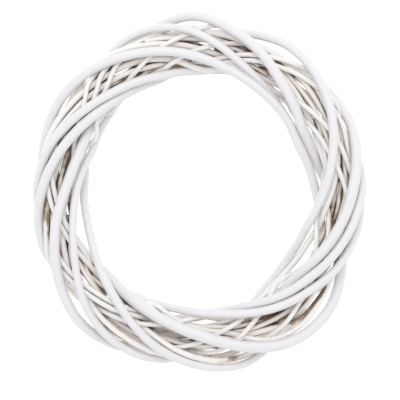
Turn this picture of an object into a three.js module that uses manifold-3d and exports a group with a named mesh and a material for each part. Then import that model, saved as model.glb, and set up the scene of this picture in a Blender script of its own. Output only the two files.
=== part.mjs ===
// A wreath ring wound from white-painted rattan canes, lying on its back.
//
// Thick outer canes coil round the bundle, all in one hand. Thin cross canes are wound in the other hand
// just beneath them. Under those lie thinner inner canes, and core canes run along the middle.
//
// Millimetres, +Z up. The ring's axis is Z, the top of the ring is +Y and the ring stands on Z = 0.
// A place on the ring is a clock angle, in degrees clockwise from the top, and a radius from the axis.
import * as THREE from 'three';
import { mergeVertices } from 'three/addons/utils/BufferGeometryUtils.js';
import Module from 'manifold-3d';

// The bundle as a whole
const bundleHeight = 54; // from the table to the front of the highest cane
const middleRadius = 145; // of the circle along the middle of the bundle
const touchGap = 0.32; // left between two canes that rest on each other
const flatDepth = 0.9; // pressed off a cane's underside where the ring stands on it

// How far a cane's centreline swings to the front and to the back of the bundle's middle
const outerSwing = 22;
const crossSwing = 15;
const innerSwing = 9.5;
const coreSwing = 4;

// A cane's ends are tucked in: at an end it swings only this share, and fully after this length
const tuckShare = 0.45;
const tuckLength = 90;

// How finely a cane is stepped along its length and round its section
const outerStep = 18;
const innerStep = 16;
const outerSides = 8;
const innerSides = 6;

const thinDiameter = 5;
const coreDiameter = 4.6;

const paint = { color: 0xf1f0f4, roughness: 0.5, metalness: 0 };
const thinPaint = { color: 0xe9e2da, roughness: 0.6, metalness: 0 };

// Each cane is a list of front passes. A pass has the cane's diameter there and its stations, as
// [clock, radius], going clockwise. Between its largest and its smallest radius the cane lies on the
// front of the bundle, and from one pass to the next it lies at the back.
const outerCanes = [
  [
    { diameter: 8.7, stations: [[58, 136], [78, 150], [96, 160.5], [104, 162], [112, 160.3], [120, 156.6],
      [132, 147.6], [144, 140.3], [156, 132.4], [170, 124.3], [182, 121.9], [195, 120.8], [206, 123.3],
      [218, 127]] },
    { diameter: 9, stations: [[264, 159.5], [271, 160.3], [278, 159.2], [286, 155.6], [294, 149.2],
      [306, 139.3], [316, 132.4], [328, 127.3], [340, 123.8], [351, 123], [4, 124.5]] },
    { diameter: 9.2, stations: [[78, 161.5], [84, 161.8], [94, 158.5], [106, 154], [116, 147.9],
      [128, 139.8], [140, 134], [152, 128], [164, 124.3], [176, 125]] },
    { diameter: 10, stations: [[242, 162], [248, 165], [254, 165.6], [262, 162], [270, 156.6], [280, 149],
      [290, 141], [302, 132.3], [314, 126], [326, 122.7], [334, 122.2], [344, 123.5], [2, 130.5],
      [22, 143]] },
  ],
  [
    { diameter: 11, stations: [[8, 140], [30, 153], [50, 162], [57, 164], [63, 164.8], [72, 163],
      [84, 156], [96, 149.3], [108, 142.3], [120, 136], [132, 132], [140, 131]] },
    { diameter: 10.5, stations: [[204, 172], [211, 177.2], [218, 178.4], [224, 176.9], [236, 167.4],
      [248, 155.2], [260, 143.5], [270, 134.2], [282, 127.9], [290, 127], [301, 126.5], [308, 127]] },
    { diameter: 9.3, stations: [[14, 165], [22, 169.3], [31, 171.6], [40, 168.2], [52, 159.6], [64, 148.7],
      [76, 137], [88, 126.8], [100, 118.4], [112, 113.4], [119, 112.6], [130, 113.8], [142, 117.5],
      [148, 121]] },
    { diameter: 8, stations: [[188, 168.5], [194, 173.8], [201, 175.3], [208, 173], [216, 168.9],
      [224, 161.4], [236, 147], [248, 135.2], [260, 127.5], [272, 122.4], [284, 119.2], [295, 118.8],
      [308, 121.5], [314, 123.5], [330, 134], [346, 146]] },
  ],
  [
    { diameter: 10.5, stations: [[310, 140], [326, 154], [342, 168], [350, 173.7], [357, 176.7],
      [4, 172.8], [12, 164.1], [20, 156], [28, 146.7], [36, 137.5], [46, 129.6], [58, 123], [66, 121.8],
      [76, 123.5]] },
    { diameter: 12, stations: [[116, 161], [124, 170.3], [132, 176.8], [140, 178.2], [148, 175.9],
      [156, 169], [164, 160.2], [176, 146.4], [186, 139], [198, 132.6], [210, 129.4], [222, 127.5],
      [230, 127.8]] },
    { diameter: 9.5, stations: [[280, 160.5], [290, 164.2], [304, 166.8], [314, 163.6], [326, 157],
      [338, 149.3], [348, 142.8], [0, 134.3], [14, 125.1], [30, 118.7], [50, 114.4], [64, 112], [74, 113.2],
      [90, 118], [108, 130], [124, 142]] },
  ],
  [
    { diameter: 8.7, stations: [[118, 140], [138, 157], [156, 171.8], [162, 178], [168, 179.6],
      [176, 176.8], [188, 168], [196, 160.2], [208, 146.3], [220, 134.2], [230, 127.3], [242, 120],
      [256, 116.2], [268, 116.5], [280, 117.3]] },
    { diameter: 8, stations: [[322, 159], [330, 166.5], [338, 170.2], [346, 168.9], [354, 163.6],
      [2, 154.6], [10, 144.2], [20, 132.7], [32, 123.2], [44, 117], [56, 114.4], [70, 119], [88, 133]] },
  ],
];

const innerCanes = [
  [
    { diameter: 6.4, stations: [[84, 144], [104, 153], [120, 158], [130, 161.5], [140, 162.6], [150, 158],
      [160, 152], [172, 144.5], [184, 139], [206, 127]] },
    { diameter: 6.4, stations: [[284, 160], [306, 155.5], [318, 152], [330, 147], [340, 141], [350, 132],
      [2, 124.5], [16, 131], [34, 145]] },
  ],
  [
    { diameter: 6, stations: [[130, 148], [144, 158], [156, 167], [164, 171.3], [172, 171.5], [180, 167.5],
      [190, 157.5], [206, 143], [227, 128]] },
    { diameter: 6, stations: [[318, 161.5], [344, 153.5], [4, 140.5], [34, 125], [54, 132.5], [72, 145]] },
  ],
  [
    { diameter: 6.6, stations: [[146, 148], [158, 158.5], [168, 165.5], [178, 166], [188, 165.5],
      [198, 165.8], [209, 163.2], [218, 160.4], [240, 146], [266, 126]] },
    { diameter: 6.6, stations: [[350, 162.8], [14, 156.5], [36, 142.8], [68, 128], [88, 131], [108, 143]] },
  ],
  [
    { diameter: 6.4, stations: [[6, 144], [24, 155], [44, 159.5], [64, 152], [80, 139.8], [96, 128.5],
      [106, 122.8], [118, 119.7], [124, 119.3], [136, 121.3], [144, 125]] },
    { diameter: 6.4, stations: [[206, 164], [228, 157.5], [252, 144.2], [286, 126], [306, 133], [324, 145]] },
  ],
  [
    { diameter: 6, stations: [[202, 146], [222, 158], [240, 162], [262, 155], [284, 143], [316, 128]] },
    { diameter: 6, stations: [[66, 160], [92, 152], [114, 143], [146, 130], [158, 134], [170, 141],
      [184, 147], [198, 147.5]] },
  ],
  [
    { diameter: 5.6, stations: [[116, 155], [126, 160.5], [134, 164.5], [142, 167.8], [149, 167.6],
      [158, 159], [168, 148], [182, 139], [202, 128]] },
    { diameter: 5.6, stations: [[274, 160], [288, 155.5], [300, 150], [312, 144.5], [326, 139.5],
      [346, 131.5], [2, 137]] },
  ],
];

const crossCanes = [
  [
    { diameter: thinDiameter, stations: [[334, 140], [352, 125.5], [4, 130.5], [15, 140.6], [24, 149],
      [36, 158], [46, 162]] },
    { diameter: thinDiameter, stations: [[88, 124], [96, 127.5], [108, 135.5], [122, 146], [136, 156],
      [146, 160]] },
    { diameter: thinDiameter, stations: [[178, 123], [192, 134], [207, 147], [213, 150.5], [226, 156.5],
      [236, 160]] },
    { diameter: thinDiameter, stations: [[284, 125], [298, 132.5], [312, 140.5], [318, 150], [325, 157],
      [334, 160.5], [350, 146]] },
  ],
  [
    { diameter: thinDiameter, stations: [[346, 140], [2, 125], [18, 138.5], [26, 144.3], [34, 149],
      [42, 154], [50, 157.7], [60, 161.5]] },
    { diameter: thinDiameter, stations: [[92, 120.5], [106, 124], [118, 131], [129, 141], [140, 151.5],
      [148, 158.5], [158, 163]] },
    { diameter: thinDiameter, stations: [[192, 128], [204, 135], [218, 146], [226, 150.5], [238, 157],
      [248, 160]] },
    { diameter: thinDiameter, stations: [[292, 124], [305, 130], [318, 139.5], [325.5, 150], [331, 156],
      [342, 161.5], [2, 146]] },
  ],
  [
    { diameter: thinDiameter, stations: [[20, 140], [36, 125], [46, 132.8], [58, 140.2], [64, 144.3],
      [74, 150.5], [84, 156.8], [92, 160]] },
    { diameter: thinDiameter, stations: [[136, 124], [147, 130], [157, 141.5], [161, 147.5], [166, 154],
      [172, 161], [180, 165]] },
    { diameter: thinDiameter, stations: [[228, 129.5], [240, 132.8], [254, 140.7], [262, 146.8], [270, 151.8],
      [284, 157]] },
    { diameter: thinDiameter, stations: [[312, 124], [325, 131], [336, 140], [343, 147.3], [350, 152.8],
      [357, 158.5], [8, 165], [20, 154]] },
  ],
  [
    { diameter: thinDiameter, stations: [[34, 140], [50, 123], [58, 127], [70, 134], [80, 140.5],
      [88, 146.5], [100, 154], [110, 159]] },
    { diameter: thinDiameter, stations: [[148, 125], [160, 133], [172, 143.3], [181, 152], [192, 161],
      [198, 163]] },
    { diameter: thinDiameter, stations: [[240, 129.5], [248, 133.3], [256, 138.3], [270, 145], [282, 152],
      [294, 157.5]] },
    { diameter: thinDiameter, stations: [[342, 127.5], [352, 136.3], [2, 145], [10, 152], [18, 158],
      [32, 146]] },
  ],
  [
    { diameter: thinDiameter, stations: [[278, 124], [292, 131], [306, 141], [311, 150], [316, 157],
      [326, 162]] },
    { diameter: thinDiameter, stations: [[150, 145], [172, 139.5], [184, 136.5], [196, 131], [212, 138],
      [226, 144.5], [236, 150.5], [250, 157.5]] },
  ],
];

// Core canes lie nearly flat in the bundle. Each goes most of the way round in two gentle passes, and
// their starts are spread so that no two passes lie side by side.
const coreStarts = [16, 55, 111, 165, 201, 240, 288, 340];
const coreCanes = coreStarts.map((start) => [
  { diameter: coreDiameter, stations: [[start, 160], [start + 50, 145], [start + 100, 131]] },
  { diameter: coreDiameter, stations: [[start + 180, 158], [start + 230, 146], [start + 280, 134]] },
]);

// Reads a cane's passes as one growing list of stations, with the clocks at which the cane goes over
// from the back of the bundle to the front or from the front to the back.
function readPasses(passes) {
  const stations = [];
  const crossings = [];
  const diameters = [];
  let turns = 0;
  let last = -Infinity;
  for (const { diameter, stations: listed } of passes) {
    const pass = listed.map(([clock, radius]) => {
      while (clock + turns * 360 < last) turns += 1;
      last = clock + turns * 360;
      return { clock: last, radius };
    });
    const byRadius = [...pass].sort((a, b) => a.radius - b.radius);
    const crests = [byRadius[0].clock, byRadius.at(-1).clock].sort((a, b) => a - b);
    stations.push(...pass);
    crossings.push(...crests);
    diameters.push({ clock: (crests[0] + crests[1]) / 2, diameter });
  }
  return { stations, crossings, diameters };
}

// The share of its swing that a cane has at a clock: 1 amid a front pass and -1 amid a back pass.
function swingShare(clock, crossings) {
  const passed = crossings.filter((crossing) => crossing <= clock).length - 1;
  const i = THREE.MathUtils.clamp(passed, 0, crossings.length - 2);
  const along = (clock - crossings[i]) / (crossings[i + 1] - crossings[i]);
  const side = i % 2 === 0 ? 1 : -1;
  return side * Math.sin(Math.PI * THREE.MathUtils.clamp(along, -1, 2));
}

// The cane's diameter at a clock, changing evenly from the middle of one pass to the next.
function diameterAt(clock, diameters) {
  const after = diameters.findIndex((known) => known.clock > clock);
  if (after === 0) return diameters[0].diameter;
  if (after === -1) return diameters.at(-1).diameter;
  const [a, b] = [diameters[after - 1], diameters[after]];
  return THREE.MathUtils.mapLinear(clock, a.clock, b.clock, a.diameter, b.diameter);
}

// A cane as evenly spaced points with a radius at each, before it settles among the others.
function layCane(passes, swing, step) {
  const { stations, crossings, diameters } = readPasses(passes);
  const arcPerDegree = THREE.MathUtils.degToRad(middleRadius);
  const unrolled = new THREE.CatmullRomCurve3(
    stations.map(({ clock, radius }) => new THREE.Vector3(clock * arcPerDegree, radius, 0)),
    false,
    'centripetal',
  );
  const steps = Math.round(unrolled.getLength() / step);
  const radii = [];
  const points = unrolled.getSpacedPoints(steps).map(({ x: arc, y: radius }, i) => {
    const clock = arc / arcPerDegree;
    const angle = THREE.MathUtils.degToRad(clock);
    const fromEnd = Math.min(i, steps - i) * step;
    const tuck = THREE.MathUtils.lerp(tuckShare, 1, THREE.MathUtils.smoothstep(fromEnd, 0, tuckLength));
    radii.push(diameterAt(clock, diameters) / 2);
    return new THREE.Vector3(
      radius * Math.sin(angle),
      radius * Math.cos(angle),
      tuck * swing * swingShare(clock, crossings),
    );
  });
  return { points, radii };
}

// Settling. The canes start where they are laid and push one another apart, held near their routes and
// pressed between two flat plates, until no two are closer than the gap.
const pairReach = 36; // pieces whose middles are further apart can't touch
const freePieces = 5; // pieces this near along one cane may touch
const settleRounds = 600;
const lastRounds = 100; // in which nothing pulls a cane back or eases its bends
const easing = 0.5; // at the start, the share of a move that is evened out along the cane in a round
const sidewaysPull = 0.12; // at the start, the share of a sideways move that is taken back in a round
const heightPull = 0.005; // and the share of an up or down move
const sidewaysShare = 0.4; // share of a sideways push that is made in a round

// The closest places on two straight pieces, as the shares s and t of the way along them.
function closestShares(a0, a1, b0, b1) {
  const alongA = a1.clone().sub(a0);
  const alongB = b1.clone().sub(b0);
  const between = a0.clone().sub(b0);
  const aa = alongA.lengthSq();
  const bb = alongB.lengthSq();
  const ab = alongA.dot(alongB);
  const fromA = alongA.dot(between);
  const fromB = alongB.dot(between);
  const spread = aa * bb - ab * ab;
  let s = spread > 1e-6 ? THREE.MathUtils.clamp((ab * fromB - bb * fromA) / spread, 0, 1) : 0.5;
  const t = THREE.MathUtils.clamp((ab * s + fromB) / bb, 0, 1);
  s = THREE.MathUtils.clamp((ab * t - fromA) / aa, 0, 1);
  return [s, t];
}

function nearbyPairs(canes) {
  const pieces = canes.flatMap((cane) => cane.points.slice(1).map((point, i) => ({
    cane,
    i,
    middle: point.clone().add(cane.points[i]).divideScalar(2),
    radius: Math.max(cane.radii[i], cane.radii[i + 1]),
  })));
  return pieces.flatMap((a, m) => pieces.slice(m + 1)
    .filter((b) => a.middle.distanceTo(b.middle) < pairReach)
    .filter((b) => a.cane !== b.cane || b.i - a.i >= freePieces)
    .map((b) => [a, b]));
}

// The thinner of two canes gives way more than the thicker.
function pushApart(a, b) {
  const [a0, a1] = [a.cane.points[a.i], a.cane.points[a.i + 1]];
  const [b0, b1] = [b.cane.points[b.i], b.cane.points[b.i + 1]];
  const [s, t] = closestShares(a0, a1, b0, b1);
  const push = a0.clone().lerp(a1, s).sub(b0.clone().lerp(b1, t));
  const needed = a.radius + b.radius + touchGap;
  const distance = push.length();
  if (distance >= needed) return;
  push.multiplyScalar((needed - distance) / distance);
  push.multiply(new THREE.Vector3(sidewaysShare, sidewaysShare, 1));
  const yieldA = b.radius ** 2 / (a.radius ** 2 + b.radius ** 2);
  const yieldB = 1 - yieldA;
  a0.addScaledVector(push, yieldA * (1 - s));
  a1.addScaledVector(push, yieldA * s);
  b0.addScaledVector(push, yieldB * (t - 1));
  b1.addScaledVector(push, yieldB * -t);
}

function settle(canes) {
  const routes = canes.map((cane) => cane.points.map((point) => point.clone()));
  const backPlate = -bundleHeight / 2 - flatDepth;
  const frontPlate = bundleHeight / 2;
  let pairs = [];
  for (let round = 0; round < settleRounds; round += 1) {
    if (round % 10 === 0) pairs = nearbyPairs(canes);
    const fade = Math.max(0, 1 - round / (settleRounds - lastRounds));
    const kept = new THREE.Vector3(1, 1, 1).sub(new THREE.Vector3(sidewaysPull, sidewaysPull, heightPull)
      .multiplyScalar(fade));
    canes.forEach(({ points, radii }, c) => {
      const moves = points.map((point, i) => point.clone().sub(routes[c][i]));
      points.forEach((point, i) => {
        const before = moves[Math.max(i - 1, 0)];
        const after = moves[Math.min(i + 1, moves.length - 1)];
        const even = before.clone().add(after).divideScalar(2);
        const move = moves[i].clone().lerp(even, easing * fade).multiply(kept);
        point.addVectors(routes[c][i], move);
        point.z = THREE.MathUtils.clamp(point.z, backPlate + radii[i], frontPlate - radii[i]);
      });
    });
    pairs.forEach(([a, b]) => pushApart(a, b));
  }
}

// A centreline that runs straight from each of its points to the next.
class Centreline extends THREE.Curve {
  constructor(points) {
    super();
    this.points = points;
  }

  getPoint(share) {
    const along = share * (this.points.length - 1);
    const i = Math.min(Math.floor(along), this.points.length - 2);
    return this.points[i].clone().lerp(this.points[i + 1], along - i);
  }

  // The points are evenly spaced, so that a share of the length is a share of the steps.
  getUtoTmapping(share) {
    return share;
  }
}

// A tube of unit radius along the points, then swelled at each point to the cane's radius there.
function tube({ points, radii }, sides) {
  const corner = (k) => (2 * Math.PI * k) / sides;
  const section = new THREE.Shape(Array.from({ length: sides }, (_, k) => (
    new THREE.Vector2(Math.cos(corner(k)), Math.sin(corner(k))))));
  const geometry = new THREE.ExtrudeGeometry(section, {
    steps: points.length - 1,
    bevelEnabled: false,
    extrudePath: new Centreline(points),
  });
  const positions = geometry.getAttribute('position');
  const vertex = new THREE.Vector3();
  for (let v = 0; v < positions.count; v += 1) {
    vertex.fromBufferAttribute(positions, v);
    const distances = points.map((point) => point.distanceToSquared(vertex));
    const i = distances.indexOf(Math.min(...distances));
    vertex.sub(points[i]).multiplyScalar(radii[i]).add(points[i]);
    positions.setXYZ(v, vertex.x, vertex.y, vertex.z);
  }
  geometry.deleteAttribute('normal');
  geometry.deleteAttribute('uv');
  return mergeVertices(geometry);
}

const wasm = await Module();
wasm.setup();

function toSolid(geometry) {
  return new wasm.Manifold(new wasm.Mesh({
    numProp: 3,
    vertProperties: new Float32Array(geometry.getAttribute('position').array),
    triVerts: new Uint32Array(geometry.index.array),
  }));
}

function toGeometry(solid) {
  const mesh = solid.getMesh();
  const geometry = new THREE.BufferGeometry();
  geometry.setAttribute('position', new THREE.BufferAttribute(mesh.vertProperties, 3));
  geometry.setIndex(new THREE.BufferAttribute(mesh.triVerts, 1));
  return geometry;
}

// Below the table: what reaches into it is pressed flat.
function tableSolid() {
  const box = new THREE.BoxGeometry(4 * middleRadius, 4 * middleRadius, bundleHeight);
  box.translate(0, 0, -bundleHeight);
  box.deleteAttribute('normal');
  box.deleteAttribute('uv');
  return toSolid(mergeVertices(box));
}

const thick = { step: outerStep, sides: outerSides };
const thin = { step: innerStep, sides: innerSides };
const kinds = [
  { name: 'outer_cane', canes: outerCanes, swing: outerSwing, look: paint, ...thick },
  { name: 'inner_cane', canes: innerCanes, swing: innerSwing, look: paint, ...thin },
  { name: 'cross_cane', canes: crossCanes, swing: crossSwing, look: thinPaint, ...thin },
  { name: 'core_cane', canes: coreCanes, swing: coreSwing, look: thinPaint, ...thin },
];

const laid = kinds.flatMap(({ name, canes, swing, look, step, sides }) => canes.map((passes, k) => ({
  name: `${name}_${k + 1}`,
  look,
  sides,
  ...layCane(passes, swing, step),
})));
settle(laid);

const table = tableSolid();
const wreath = new THREE.Group();
for (const cane of laid) {
  const pressed = toGeometry(toSolid(tube(cane, cane.sides)).subtract(table));
  const mesh = new THREE.Mesh(pressed, new THREE.MeshStandardMaterial(cane.look));
  mesh.name = cane.name;
  wreath.add(mesh);
}

// Centred over the origin and stood on Z = 0.
const box = new THREE.Box3().setFromObject(wreath);
const middle = box.getCenter(new THREE.Vector3());
wreath.position.set(-middle.x, -middle.y, -box.min.z);

export default wreath;
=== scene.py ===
# A wreath ring wound from long rattan canes and sprayed white, lying on a white table top and seen from
# straight above. Metres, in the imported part's own frame: the ring's axis is Z and its top is +Y.
import math
import random

import bpy
import numpy as np
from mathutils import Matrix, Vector
from mathutils.bvhtree import BVHTree


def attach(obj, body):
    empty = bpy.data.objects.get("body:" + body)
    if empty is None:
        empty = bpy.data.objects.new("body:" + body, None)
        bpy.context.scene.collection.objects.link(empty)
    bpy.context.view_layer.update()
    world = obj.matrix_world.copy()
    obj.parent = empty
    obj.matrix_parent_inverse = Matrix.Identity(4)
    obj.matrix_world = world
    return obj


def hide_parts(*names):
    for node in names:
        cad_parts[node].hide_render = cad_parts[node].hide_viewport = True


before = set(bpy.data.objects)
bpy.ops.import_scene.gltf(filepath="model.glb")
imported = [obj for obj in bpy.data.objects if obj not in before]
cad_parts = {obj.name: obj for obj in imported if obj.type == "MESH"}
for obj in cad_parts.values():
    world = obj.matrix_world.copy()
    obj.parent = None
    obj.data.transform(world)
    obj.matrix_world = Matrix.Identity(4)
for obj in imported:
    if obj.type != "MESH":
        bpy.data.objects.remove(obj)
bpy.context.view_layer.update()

# The outer canes are four long, smooth rattan canes as thick as a finger, wound round the bundle from
# its outer edge to its inner edge and back behind. Each is as cut: round, slightly uneven, with low
# swellings where leaves grew, and it is sprayed white with the whole wreath.

# A packed cane is a chain of straight lengths between rings of corners. Its edges shorter than this go
# round a ring, and the longer ones go along the cane. Corners on the table belong to a flat spot.
longest_ring_edge = 0.0075
table_reach = 0.0001
merge_distance = 0.00002
all_canes = []


def merged_copy(node_name):
    """A copy of a packed cane whose loose triangles are joined into one mesh."""
    bpy.ops.object.select_all(action="DESELECT")
    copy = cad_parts[node_name].copy()
    copy.data = copy.data.copy()
    bpy.context.collection.objects.link(copy)
    bpy.context.view_layer.objects.active = copy
    copy.select_set(True)
    bpy.ops.object.mode_set(mode="EDIT")
    bpy.ops.mesh.select_all(action="SELECT")
    bpy.ops.mesh.remove_doubles(threshold=merge_distance)
    bpy.ops.object.mode_set(mode="OBJECT")
    return copy


def fitted_circle(points):
    """The centre and radius of the circle through points that lie on one ring of a cane."""
    middle = points.mean(axis=0)
    axes = np.linalg.svd(points - middle)[2]
    flat = (points - middle) @ axes[:2].T
    system = np.column_stack([2 * flat, np.ones(len(flat))])
    u, v, rest = np.linalg.lstsq(system, (flat**2).sum(axis=1), rcond=None)[0]
    return middle + u * axes[0] + v * axes[1], math.sqrt(rest + u * u + v * v)


def packed_course(node_name):
    """The middle and radius of each ring of a packed cane, from one cut end to the other."""
    copy = merged_copy(node_name)
    place = np.array([v.co[:] for v in copy.data.vertices])
    round_the_cane = [set() for _ in place]
    along_the_cane = [set() for _ in place]
    for edge in copy.data.edges:
        a, b = edge.vertices
        if min(place[a][2], place[b][2]) > table_reach:
            is_short = np.linalg.norm(place[a] - place[b]) < longest_ring_edge
            edges = round_the_cane if is_short else along_the_cane
            edges[a].add(b)
            edges[b].add(a)
    bpy.data.objects.remove(copy)

    ring_of = {}
    rings = []
    for first, at in enumerate(place):
        if first in ring_of or at[2] <= table_reach:
            continue
        ring = [first]
        ring_of[first] = len(rings)
        for v in ring:
            for other in round_the_cane[v] - ring_of.keys():
                ring_of[other] = len(rings)
                ring.append(other)
        rings.append(ring)
    beside = [{ring_of[w] for v in ring for w in along_the_cane[v]} - {ring_of[ring[0]]} for ring in rings]
    order = [next(i for i, others in enumerate(beside) if len(others) == 1)]
    while following := beside[order[-1]] - set(order):
        order.append(following.pop())
    circles = [fitted_circle(place[rings[i]]) for i in order]
    return np.array([centre for centre, _ in circles]), np.array([radius for _, radius in circles])


# The smooth cane has a ring of vertices every few millimetres, and closer ones at each knot. Its knots
# lie unevenly far apart, none of them near a cut end, and the cut ends are slightly rounded.
ring_spacing = 0.0038
knot_spacing = 0.0013
knot_width = 0.0022
least_spacing = 0.45 * knot_spacing
clear_end = 0.02
nearest_knots = 0.7
farthest_knots = 1.4
end_rounding = 0.0007
end_narrowing = 0.86
slow_swelling = 0.11
quick_swelling = 0.03
quick_share = 0.4


def knots_and_stations(length, knot_gap, luck):
    """Where a cane has its knots, and where its rings of vertices go, closest together at each knot."""
    knots = [luck.uniform(clear_end, knot_gap)]
    while knots[-1] < length - clear_end:
        knots.append(knots[-1] + luck.uniform(nearest_knots, farthest_knots) * knot_gap)
    knots.pop()
    wanted = [end_rounding, length - end_rounding, *np.linspace(0, length, round(length / ring_spacing))]
    for knot in knots:
        wanted += [knot + k * knot_spacing for k in range(-3, 4)]
    stations = [0.0]
    for place in sorted(wanted):
        if place - stations[-1] > least_spacing and place < length - end_rounding / 2:
            stations.append(place)
    return knots, np.array(stations + [length])


def smooth_through(values, share):
    """Values on the smooth curve through evenly spaced ones, at each share of its whole length."""
    along = share * (len(values) - 1)
    i = np.minimum(along.astype(int), len(values) - 2)
    t = (along - i).reshape(-1, *[1] * (values.ndim - 1))
    ends = np.concatenate([[2 * values[0] - values[1]], values, [2 * values[-1] - values[-2]]])
    a, b, c, d = (ends[i + k] for k in range(4))
    return b + 0.5 * t * (c - a + t * (2 * a - 5 * b + 4 * c - d + t * (3 * (b - c) + d - a)))


def wavering(places, wavelength, luck):
    """A slow wandering between about -1 and 1 along a cane, from four waves of different lengths."""
    waves = [(luck.uniform(0.6, 1.6) * 6.28 / wavelength, luck.uniform(0, 6.28)) for _ in range(4)]
    return sum(np.sin(places * rate + start) for rate, start in waves) / 3


def mark_grain(cane, stations, radius, sides, luck):
    """Gives each vertex its place in the cane as if that were straight, for grain that follows it."""
    start = luck.uniform(0, 5)
    grain = cane.data.attributes.new("grain", "FLOAT_VECTOR", "POINT")
    for i, (place, size) in enumerate(zip(stations, radius)):
        for j in range(sides):
            turn = math.tau * j / sides
            grain.data[i * sides + j].vector = (start + place, size * math.cos(turn), size * math.sin(turn))


def lay_on_table(cane):
    """Flattens the few low places on which the cane rests, so that none goes through the table."""
    for vertex in cane.data.vertices:
        vertex.co.z = max(vertex.co.z, 0)


def make_cane(node_name, sides, knot_gap, unevenness, knot_height, shelter_from_spray_and_light):
    """Models a cane as a curve with a round bevel along its packed course, and makes it a mesh."""
    luck = random.Random(node_name)
    centres, radii = packed_course(node_name)
    length = float(np.linalg.norm(np.diff(centres, axis=0), axis=1).sum())
    knots, stations = knots_and_stations(length, knot_gap, luck)
    course = smooth_through(centres, stations / length)
    radius = smooth_through(radii, stations / length)
    radius *= 1 - unevenness + unevenness * wavering(stations, slow_swelling, luck)
    radius *= 1 + quick_share * unevenness * wavering(stations, quick_swelling, luck)
    for knot in knots:
        height = knot_height * luck.uniform(0.4, 1)
        radius *= 1 + height * np.exp(-(((stations - knot) / knot_width) ** 2))
    radius[[0, -1]] *= end_narrowing

    bpy.ops.object.select_all(action="DESELECT")
    bpy.ops.curve.primitive_nurbs_path_add()
    cane = bpy.context.object
    cane.name = "sprayed_" + node_name
    path = cane.data
    path.splines.clear()
    spline = path.splines.new("POLY")
    spline.points.add(len(course) - 1)
    for point, place, size in zip(spline.points, course, radius):
        point.co = (*place, 1)
        point.radius = size
    path.twist_mode = "MINIMUM"
    path.bevel_depth = 1
    path.bevel_resolution = sides // 2 - 2
    bpy.ops.object.convert(target="MESH")
    bpy.ops.object.mode_set(mode="EDIT")
    bpy.ops.mesh.select_all(action="SELECT")
    bpy.ops.mesh.fill_holes(sides=0)
    bpy.ops.mesh.normals_make_consistent(inside=False)
    bpy.ops.object.mode_set(mode="OBJECT")
    mark_grain(cane, stations, radius, sides, luck)
    lay_on_table(cane)
    bpy.ops.object.shade_smooth_by_angle(angle=math.radians(40))
    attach(cane, "root")
    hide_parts(node_name)
    all_canes.append((cane, shelter_from_spray_and_light))
    return cane


# The paint's cover depends on the share of the spray that reached a spot, made uneven by blotches. That
# share is also the spot's openness to light, so the darker bare cane it leaves is partly painted shade.
# Below the first two shares the cane is bare, and between the last two the paint gets thicker.
blotch_share = 0.22
bare_below = 0.14
covered_above = 0.21
thin_below = 0.18
thick_above = 0.48


def two_tones(nodes, low, low_tone, high, high_tone):
    """A ramp from one tone, up to a low value, to another from a high value on."""
    ramp = nodes.new("ShaderNodeValToRGB")
    ramp.color_ramp.elements[0].position = low
    ramp.color_ramp.elements[0].color = (*low_tone, 1)
    ramp.color_ramp.elements[1].position = high
    ramp.color_ramp.elements[1].color = (*high_tone, 1)
    return ramp


def sprayed_cane(name, paint, thin_paint, bare, dark_grain):
    """White spray paint on smooth cane: full where the spray reached, thinner and then bare inside, the
    bare cane's darker tone there partly painted shade.
    """
    material = bpy.data.materials.new(name)
    material.use_nodes = True
    nodes, links = material.node_tree.nodes, material.node_tree.links
    shader = nodes["Principled BSDF"]
    shader.inputs["Roughness"].default_value = 0.5
    shader.inputs["IOR"].default_value = 1.45

    grain = nodes.new("ShaderNodeAttribute")
    grain.attribute_name = "grain"
    along = nodes.new("ShaderNodeMapping")
    along.inputs["Scale"].default_value = (0.06, 1, 1)
    fibres = nodes.new("ShaderNodeTexNoise")
    fibres.inputs["Scale"].default_value = 900
    fibres.inputs["Detail"].default_value = 3
    wood = two_tones(nodes, 0.3, dark_grain, 0.7, bare)
    links.new(grain.outputs["Vector"], along.inputs["Vector"])
    links.new(along.outputs["Vector"], fibres.inputs["Vector"])
    links.new(fibres.outputs["Fac"], wood.inputs["Fac"])

    # The spray attribute is also the spot's openness to light, so the bare cane it uncovers is partly
    # painted shade.
    spray = nodes.new("ShaderNodeAttribute")
    spray.attribute_name = "spray"
    blotches = nodes.new("ShaderNodeTexNoise")
    blotches.inputs["Scale"].default_value = 110
    blotches.inputs["Detail"].default_value = 4
    uneven = nodes.new("ShaderNodeMath")
    uneven.operation = "MULTIPLY_ADD"
    uneven.inputs[1].default_value = blotch_share
    links.new(grain.outputs["Vector"], blotches.inputs["Vector"])
    links.new(blotches.outputs["Fac"], uneven.inputs[0])
    links.new(spray.outputs["Fac"], uneven.inputs[2])

    cover = two_tones(nodes, bare_below, (0, 0, 0), covered_above, (1, 1, 1))
    thickness = two_tones(nodes, thin_below, thin_paint, thick_above, paint)
    finish = nodes.new("ShaderNodeMix")
    finish.data_type = "RGBA"
    links.new(uneven.outputs["Value"], cover.inputs["Fac"])
    links.new(uneven.outputs["Value"], thickness.inputs["Fac"])
    links.new(cover.outputs["Color"], finish.inputs["Factor"])
    links.new(wood.outputs["Color"], finish.inputs["A"])
    links.new(thickness.outputs["Color"], finish.inputs["B"])
    links.new(finish.outputs["Result"], shader.inputs["Base Color"])

    relief = nodes.new("ShaderNodeBump")
    relief.inputs["Strength"].default_value = 0.25
    relief.inputs["Distance"].default_value = 0.0003
    links.new(fibres.outputs["Fac"], relief.inputs["Height"])
    links.new(relief.outputs["Normal"], shader.inputs["Normal"])
    return material


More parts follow.
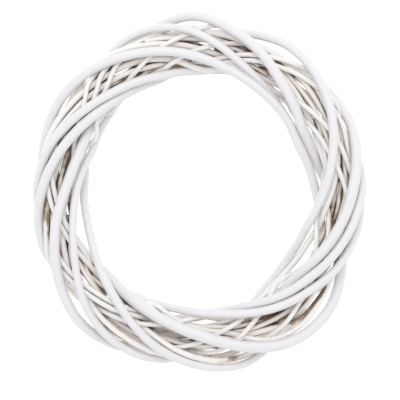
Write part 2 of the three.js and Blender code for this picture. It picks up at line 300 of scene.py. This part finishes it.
# The outer canes' white paint is set darker than the same paint on the thinner canes below, as painted
# light: it holds down the outer canes' brightly lit tops, while the thinner canes' lighter paint offsets
# the shade inside the bundle.
thick_white = sprayed_cane(
    "white spray on thick cane",
    paint=(0.77, 0.762, 0.78),
    thin_paint=(0.78, 0.745, 0.71),
    bare=(0.54, 0.42, 0.31),
    dark_grain=(0.28, 0.20, 0.14),
)
for number in range(1, 5):
    outer_cane = make_cane(
        f"outer_cane_{number}",
        sides=16,
        knot_gap=0.16,
        unevenness=0.03,
        knot_height=0.05,
        shelter_from_spray_and_light=0,
    )
    outer_cane.data.materials.clear()
    outer_cane.data.materials.append(thick_white)

# The inner canes are six thinner canes that fill the layer under the crossing ones. They were wound
# before the outer canes, so the spray reached them only between those and left them creamier.
# This paint is set lighter than the outer canes' white as painted light against the shade inside the
# bundle.
creamy_white = sprayed_cane(
    "creamy white spray on thin cane",
    paint=(0.86, 0.84, 0.825),
    thin_paint=(0.86, 0.815, 0.77),
    bare=(0.48, 0.36, 0.26),
    dark_grain=(0.15, 0.10, 0.07),
)
for number in range(1, 7):
    inner_cane = make_cane(
        f"inner_cane_{number}",
        sides=12,
        knot_gap=0.13,
        unevenness=0.035,
        knot_height=0.06,
        shelter_from_spray_and_light=0.2,
    )
    inner_cane.data.materials.clear()
    inner_cane.data.materials.append(creamy_white)

# The cross canes are five thin canes laced steeply over the bundle under the outer ones, which tie it
# together. They are sprayed with the rest.
thin_white = sprayed_cane(
    "white spray on thin cane",
    paint=(0.84, 0.825, 0.815),
    thin_paint=(0.83, 0.79, 0.75),
    bare=(0.48, 0.36, 0.26),
    dark_grain=(0.15, 0.10, 0.07),
)
for number in range(1, 6):
    cross_cane = make_cane(
        f"cross_cane_{number}",
        sides=12,
        knot_gap=0.11,
        unevenness=0.035,
        knot_height=0.06,
        shelter_from_spray_and_light=0.1,
    )
    cross_cane.data.materials.clear()
    cross_cane.data.materials.append(thin_white)

# The core canes are eight thin canes that run round the middle of the bundle, the hoop round which all
# the others were wound. The least spray reached them, so they are patchy. Their bare cane and its grain
# are set darker than those of the others as painted shade for lying deepest in the bundle.
patchy_white = sprayed_cane(
    "patchy white spray on thin cane darkened as painted shade",
    paint=(0.84, 0.815, 0.79),
    thin_paint=(0.80, 0.745, 0.69),
    # This bare cane colour and grain are darkened as painted shade for the depth of the core.
    bare=(0.37, 0.255, 0.165),
    dark_grain=(0.09, 0.058, 0.036),
)
for number in range(1, 9):
    core_cane = make_cane(
        f"core_cane_{number}",
        sides=12,
        knot_gap=0.12,
        unevenness=0.035,
        knot_height=0.05,
        shelter_from_spray_and_light=0.4,
    )
    core_cane.data.materials.clear()
    core_cane.data.materials.append(patchy_white)

# The wound wreath was sprayed white from all round. A spot's share of open directions says how much
# spray reached it, so the canes deep inside and the places where two of them touch stay barer. It is
# also the share of light reaching the spot, so their darker bare cane is partly painted shade.
spray_rays = 24
spray_reach = 0.12
ray_start = 0.0002
golden_turn = math.pi * (3 - math.sqrt(5))
blending_rounds = 3
bundle_middle = 0.145

# Where the spray missed the canes under the outer ones, set where they lie in deep shade, so the dark
# bare cane there is partly painted shade. Each place runs from one clock angle and radius to another,
# and has a width to each side, the share of the spray that missed it, and the height above the table
# up to which it did. Above that the canes are sprayed better, so the lower canes are darker, partly as
# painted shade.
fade_height = 0.010
least_low_share = 0.35
# Each place darkens the canes to bare cane, partly as painted shade in the deep slots between them.
missed_and_shaded_places = [
    ((0, 0.144), (12, 0.136), 0.005, 0.65, 0.030),
    ((10, 0.158), (18, 0.153), 0.004, 0.4, 0.030),
    ((18, 0.142), (36, 0.130), 0.006, 0.5, 0.030),
    ((34, 0.147), (54, 0.136), 0.006, 0.5, 0.030),
    ((50, 0.135), (66, 0.134), 0.004, 0.5, 0.030),
    ((62, 0.160), (76, 0.155), 0.004, 0.4, 0.030),
    ((80, 0.141), (106, 0.136), 0.008, 0.8, 0.030),
    ((108, 0.158), (120, 0.153), 0.003, 0.8, 0.030),
    ((120, 0.151), (132, 0.145), 0.004, 0.7, 0.030),
    ((127, 0.160), (146, 0.161), 0.005, 0.9, 0.054),
    ((136, 0.151), (158, 0.146), 0.008, 0.9, 0.030),
    ((159, 0.173), (175, 0.172), 0.003, 0.95, 0.054),
    ((170, 0.161), (181, 0.153), 0.005, 0.5, 0.030),
    ((200, 0.147), (208, 0.142), 0.004, 0.5, 0.030),
    ((204, 0.168), (221, 0.163), 0.003, 0.95, 0.054),
    ((220, 0.144), (236, 0.141), 0.004, 0.4, 0.030),
    ((229, 0.164), (237, 0.160), 0.004, 0.4, 0.054),
    ((252, 0.159), (267, 0.154), 0.004, 0.9, 0.054),
    ((269, 0.142), (299, 0.131), 0.005, 0.75, 0.030),
    ((302, 0.150), (321, 0.145), 0.004, 0.4, 0.030),
    ((319, 0.154), (327, 0.150), 0.004, 0.4, 0.054),
    ((320, 0.149), (338, 0.139), 0.006, 0.5, 0.030),
    ((328, 0.138), (350, 0.130), 0.006, 0.85, 0.030),
    ((344, 0.128), (357, 0.124), 0.003, 0.8, 0.030),
    ((348, 0.152), (360, 0.143), 0.005, 0.5, 0.030),
]


def missed_and_shaded(spot):
    """The share of the spray that missed a spot, partly standing for painted shade there: all of it to half
    a place's width, none past 1.5.
    """
    clock = math.degrees(math.atan2(spot.x, spot.y)) % 360
    radius = math.hypot(spot.x, spot.y)
    most = 0
    for (first_clock, first_radius), (last_clock, last_radius), width, share, top in missed_and_shaded_places:
        middle_clock = (first_clock + last_clock) / 2
        turned = (clock - middle_clock + 180) % 360 - 180
        here = Vector((math.radians(turned) * bundle_middle, radius))
        first = Vector((math.radians(first_clock - middle_clock) * bundle_middle, first_radius))
        last = Vector((math.radians(last_clock - middle_clock) * bundle_middle, last_radius))
        along = (here - first).dot(last - first) / (last - first).length_squared
        away = (here - first.lerp(last, min(max(along, 0), 1))).length
        low_share = share * min(max(1 - (spot.z - top) / fade_height, least_low_share), 1)
        most = max(most, low_share * min(max(1.5 - away / width, 0), 1))
    return most


def open_directions(vertex, luck):
    """The share of rays from a spot on a cane that leave the wreath without meeting a cane."""
    normal = vertex.normal
    side = normal.orthogonal().normalized()
    other = normal.cross(side)
    start = vertex.co + normal * ray_start
    turn = luck.uniform(0, math.tau)
    clear = 0
    for k in range(spray_rays):
        lean = math.sqrt((k + 0.5) / spray_rays)
        angle = turn + k * golden_turn
        flat = side * (lean * math.cos(angle)) + other * (lean * math.sin(angle))
        way = flat + normal * math.sqrt(1 - lean * lean)
        clear += wreath.ray_cast(start, way, spray_reach)[0] is None
    return clear / spray_rays


corners = []
faces = []
for cane, _ in all_canes:
    first_corner = len(corners)
    corners += [v.co.copy() for v in cane.data.vertices]
    faces += [[first_corner + v for v in face.vertices] for face in cane.data.polygons]
wreath = BVHTree.FromPolygons(corners, faces)

spray_luck = random.Random(7)
for cane, shelter_from_spray_and_light in all_canes:
    mesh = cane.data
    spray_and_light_share = np.zeros(len(mesh.vertices))
    for i, vertex in enumerate(mesh.vertices):
        spray_and_light_share[i] = open_directions(vertex, spray_luck)
        # Inner, cross and core canes get less of this share overall, so they come out barer and darker:
        # partly less spray, partly painted shade for lying deeper in the bundle.
        if shelter_from_spray_and_light:
            spray_and_light_share[i] *= (1 - shelter_from_spray_and_light) * (1 - missed_and_shaded(vertex.co))
    ends = np.array([edge.vertices[:] for edge in mesh.edges])
    for _ in range(blending_rounds):
        total = spray_and_light_share.copy()
        count = np.ones(len(spray_and_light_share))
        for a, b in ((0, 1), (1, 0)):
            np.add.at(total, ends[:, a], spray_and_light_share[ends[:, b]])
            np.add.at(count, ends[:, a], 1)
        spray_and_light_share = total / count
    # The spray attribute carries both the spray that reached a spot and painted shade: where it is low, the
    # material shows darker bare cane.
    spray = mesh.attributes.new("spray", "FLOAT", "POINT")
    spray.data.foreach_set("value", spray_and_light_share.astype(np.float32))

# The table top is a plain white sheet that is lit from behind as well as from above, so that it is
# nearly as bright between the canes as round the wreath.
bpy.ops.object.select_all(action="DESELECT")
bpy.ops.mesh.primitive_plane_add(size=8, location=(0, 0, -0.0002))
table_top = bpy.context.object
table_top.name = "table_top"
white_sheet = bpy.data.materials.new("lit white sheet")
white_sheet.use_nodes = True
sheet = white_sheet.node_tree.nodes["Principled BSDF"]
sheet.inputs["Base Color"].default_value = (0.45, 0.45, 0.45, 1)
sheet.inputs["Roughness"].default_value = 0.9
sheet.inputs["Specular IOR Level"].default_value = 0
sheet.inputs["Emission Color"].default_value = (1, 1, 1, 1)
sheet.inputs["Emission Strength"].default_value = 0.85
table_top.data.materials.append(white_sheet)

# Soft studio light: white walls all round and one wide soft box above the top of the picture.
walls = bpy.data.worlds.new("white studio")
walls.use_nodes = True
walls.node_tree.nodes["Background"].inputs["Color"].default_value = (1, 1, 1, 1)
walls.node_tree.nodes["Background"].inputs["Strength"].default_value = 0.85
bpy.context.scene.world = walls
bpy.context.scene.view_settings.view_transform = "Standard"
bpy.ops.object.light_add(type="AREA", location=(0, 0.9, 2.3))
soft_box = bpy.context.object
soft_box.name = "soft_box"
soft_box.data.shape = "SQUARE"
soft_box.data.size = 1.8
soft_box.data.energy = 22
soft_box.rotation_euler = (-soft_box.location).to_track_quat("-Z", "Y").to_euler()

# The camera looks straight down at the ring, with its top up. One pixel of the picture is one
# millimetre at the height of the front canes, and the ring lies a little above the picture's middle.
pixel = 0.001
picture_side = 400
picture_middle = (0.0002, -0.0087)
front_height = 0.042
camera_distance = 2.4
bpy.ops.object.camera_add(
    location=(*picture_middle, front_height + camera_distance),
    rotation=(0, 0, 0),
)
camera = bpy.context.object
camera.name = "camera"
camera.data.sensor_width = 36
camera.data.lens = camera.data.sensor_width * camera_distance / (picture_side * pixel)
camera.data.clip_end = 20
bpy.context.scene.camera = camera
